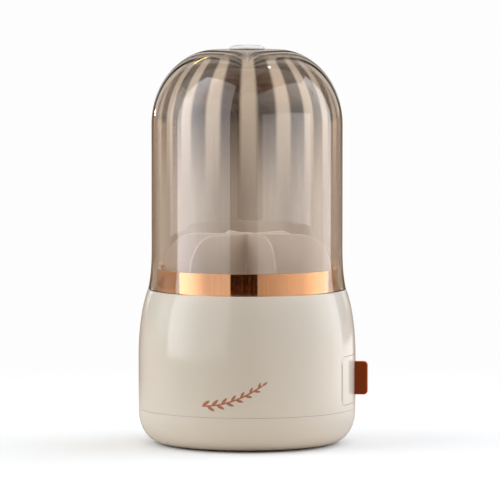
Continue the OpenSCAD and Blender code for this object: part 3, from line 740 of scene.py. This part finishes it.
# Dividers: one loose white injection moulding of six walls round a post, which stands in the cup and parts
# it. The walls rise through the collar and end in a flat top with an arched outer edge.
insert_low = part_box("divider_insert")[0]
wall_count = 6
wall_turn = math.radians(-3)
wall_t = 1.6 * mm
wall_soft = 0.45 * mm
wall_r = 57.6 * mm
wall_top = 142.8 * mm
wall_arch_w = 22 * mm
wall_arch_h = 23.3 * mm
post_r = 3.4 * mm
post_top = wall_top + 0.8 * mm
post_soft = 0.8 * mm
insert = turned("divider_insert_moulding",
    [(0, insert_low.z), (post_r, insert_low.z)]
    + arc(post_r - post_soft, post_top - post_soft, post_soft, post_soft, 0, 90, 6)
    + [(0, post_top)], 48)
for i in range(wall_count):
    bm = flat_plate([(post_r / 2, insert_low.z), (wall_r, insert_low.z)]
        + arc(wall_r - wall_arch_w, wall_top - wall_arch_h, wall_arch_w, wall_arch_h, 0, 90, 32)
        + [(post_r / 2, wall_top)], wall_t, wall_soft, post_r / 2)
    turn = wall_turn + 2 * math.pi * i / wall_count
    bmesh.ops.rotate(bm, verts=bm.verts, matrix=Matrix.Rotation(turn, 3, "Z"))
    insert = cut(insert, placed("divider_wall", bm), "UNION")
insert.data.materials.clear()
insert.data.materials.append(inner_white)
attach(insert, "turntable")
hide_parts("divider_insert")


# Collar: band of plastic with a mirror-like rose-gold metallised skin. It sits on the shell's shoulder inside
# the foot of the dome, with a lip over the cup's rim.
collar_low, collar_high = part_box("collar_ring")
collar_r = collar_high.y
collar_in_r = 60.1 * mm
skirt_in_r = 61.3 * mm
skirt_h = 1.7 * mm
lip_r = 58.2 * mm
lip_t = 1.2 * mm
lip_edge = 0.3 * mm
collar_edge = 0.45 * mm
collar_h = collar_high.z - collar_low.z
rose_gold = metal("rose_gold_mirror", (0.90, 0.43, 0.15), 0.035, 0.03, 0.02)
collar = turned("collar_band",
    arc(collar_r - collar_edge, collar_low.z + collar_edge, collar_edge, collar_edge, -90, 0, 5)
    + [(collar_r, collar_low.z + collar_h * i / 6) for i in range(1, 6)]
    + arc(collar_r - collar_edge, collar_high.z - collar_edge, collar_edge, collar_edge, 0, 90, 5)
    + arc(lip_r + lip_edge, collar_high.z - lip_edge, lip_edge, lip_edge, 90, 180, 4)
    + [(lip_r, collar_high.z - lip_t), (collar_in_r, collar_high.z - lip_t),
       (skirt_in_r, collar_low.z + skirt_h), (skirt_in_r, collar_low.z)], 256)
collar.data.materials.append(rose_gold)
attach(collar, "turntable")
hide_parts("collar_ring")


# Dome: thick clear smoky acrylic, blow moulded and polished. Its side is upright with a slightly flared rim,
# and its top is an elliptical curve to a nearly flat crown with a hole for the cap's stem.
dome_low, dome_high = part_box("dome")
dome_r = 64.95 * mm
dome_wall = 2.2 * mm
rim_flare = 2.4 * mm
rim_flare_h = 30 * mm
rim_flare_power = 2.6
rim_soft = 0.6 * mm
crown_r = 21 * mm
crown_rise = 0.4 * mm
dome_round_h = 51 * mm
stem_hole_r = 4.1 * mm
dome_top = dome_high.z - crown_rise


def dome_side(inset):
    """Outline of the dome from above its rim to its crown, drawn in by a wall."""
    flare_top = dome_low.z + rim_flare_h
    corner_z = dome_top - dome_round_h
    shares = [i / 24 for i in range(1, 25)]
    flared = [(dome_r - inset + rim_flare * (1 - share) ** rim_flare_power, dome_low.z + rim_flare_h * share)
              for share in shares]
    upright = [(dome_r - inset, flare_top + (corner_z - flare_top) * i / 6) for i in range(1, 6)]
    corner = arc(crown_r, corner_z, dome_r - crown_r - inset, dome_round_h - inset, 0, 90, 64)
    crown = []
    for i in range(1, 13):
        r = crown_r + (stem_hole_r - crown_r) * i / 12
        crown.append((r, dome_top - inset + crown_rise * (1 + math.cos(math.pi * r / crown_r)) / 2))
    return flared + upright + corner + crown


rim_out_r = dome_r + rim_flare
rim_in_r = rim_out_r - dome_wall
dome = turned("dome_clear",
    arc(rim_out_r - rim_soft, dome_low.z + rim_soft, rim_soft, rim_soft, -90, -10, 6)
    + dome_side(0) + dome_side(dome_wall)[::-1]
    + arc(rim_in_r + rim_soft, dome_low.z + rim_soft, rim_soft, rim_soft, 190, 270, 6), 256)
smoky, bsdf = surfaced("smoky_clear", (0.96, 0.95, 0.94), (0.95, 0.94, 0.93), 0.0, 0.006, 0.006)
bsdf.inputs["Transmission Weight"].default_value = 1.0
bsdf.inputs["IOR"].default_value = 1.49
bsdf.inputs["Metallic"].default_value = 0.0
bsdf.inputs["Coat Weight"].default_value = 0.6
bsdf.inputs["Coat IOR"].default_value = 1.48
bsdf.inputs["Coat Roughness"].default_value = 0.0
add = node_tools(smoky.node_tree)[0]
smoke = add("ShaderNodeVolumeAbsorption", {"Color": (0.62, 0.50, 0.42, 1), "Density": 60}).outputs[0]
shadow_tint = add("ShaderNodeBsdfTransparent", {"Color": (0.93, 0.90, 0.87, 1)}).outputs[0]
in_shadow = add("ShaderNodeLightPath").outputs["Is Shadow Ray"]
dome_surface = add("ShaderNodeMixShader", {0: in_shadow, 1: bsdf.outputs[0], 2: shadow_tint}).outputs[0]
smoky_output = smoky.node_tree.nodes["Material Output"]
smoky.node_tree.links.new(dome_surface, smoky_output.inputs["Surface"])
smoky.node_tree.links.new(smoke, smoky_output.inputs["Volume"])
dome.data.materials.append(smoky)
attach(dome, "dome")
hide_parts("dome")


# Cap: pale translucent plastic lens on the crown of the dome, over its moulding hole. Its stem clips through
# the hole with a barb.
cap_low, cap_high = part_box("dome_cap")
cap_r = cap_high.y
cap_seat = dome_top + crown_rise
cap_edge_t = 0.8 * mm
cap_under = 0.3 * mm
cap_corner_h = 0.25 * mm
cap_rise = cap_high.z - cap_seat - cap_edge_t
stem_r = 4 * mm
barb_out = 0.8 * mm
stem_tip = 0.4 * mm
clip_z = cap_seat - dome_wall - 0.1 * mm
cap = turned("cap_lens",
    [(0, cap_low.z), (stem_r - stem_tip, cap_low.z), (stem_r + barb_out, clip_z - stem_tip),
     (stem_r + barb_out, clip_z), (stem_r, clip_z), (stem_r, cap_seat), (cap_r - cap_under, cap_seat),
     (cap_r, cap_seat + cap_corner_h)]
    + arc(0, cap_seat + cap_edge_t, cap_r, cap_rise, 0, 90, 24), 96)
frosted = plastic("frosted_cap", (0.97, 0.96, 0.94), (0.95, 0.94, 0.91), 0.16, 0.1, 0.1,
                  coat=0.3, scatter=0.3)
frosted.node_tree.nodes["Principled BSDF"].inputs["Transmission Weight"].default_value = 0.12
cap.data.materials.append(frosted)
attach(cap, "dome")
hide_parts("dome_cap")
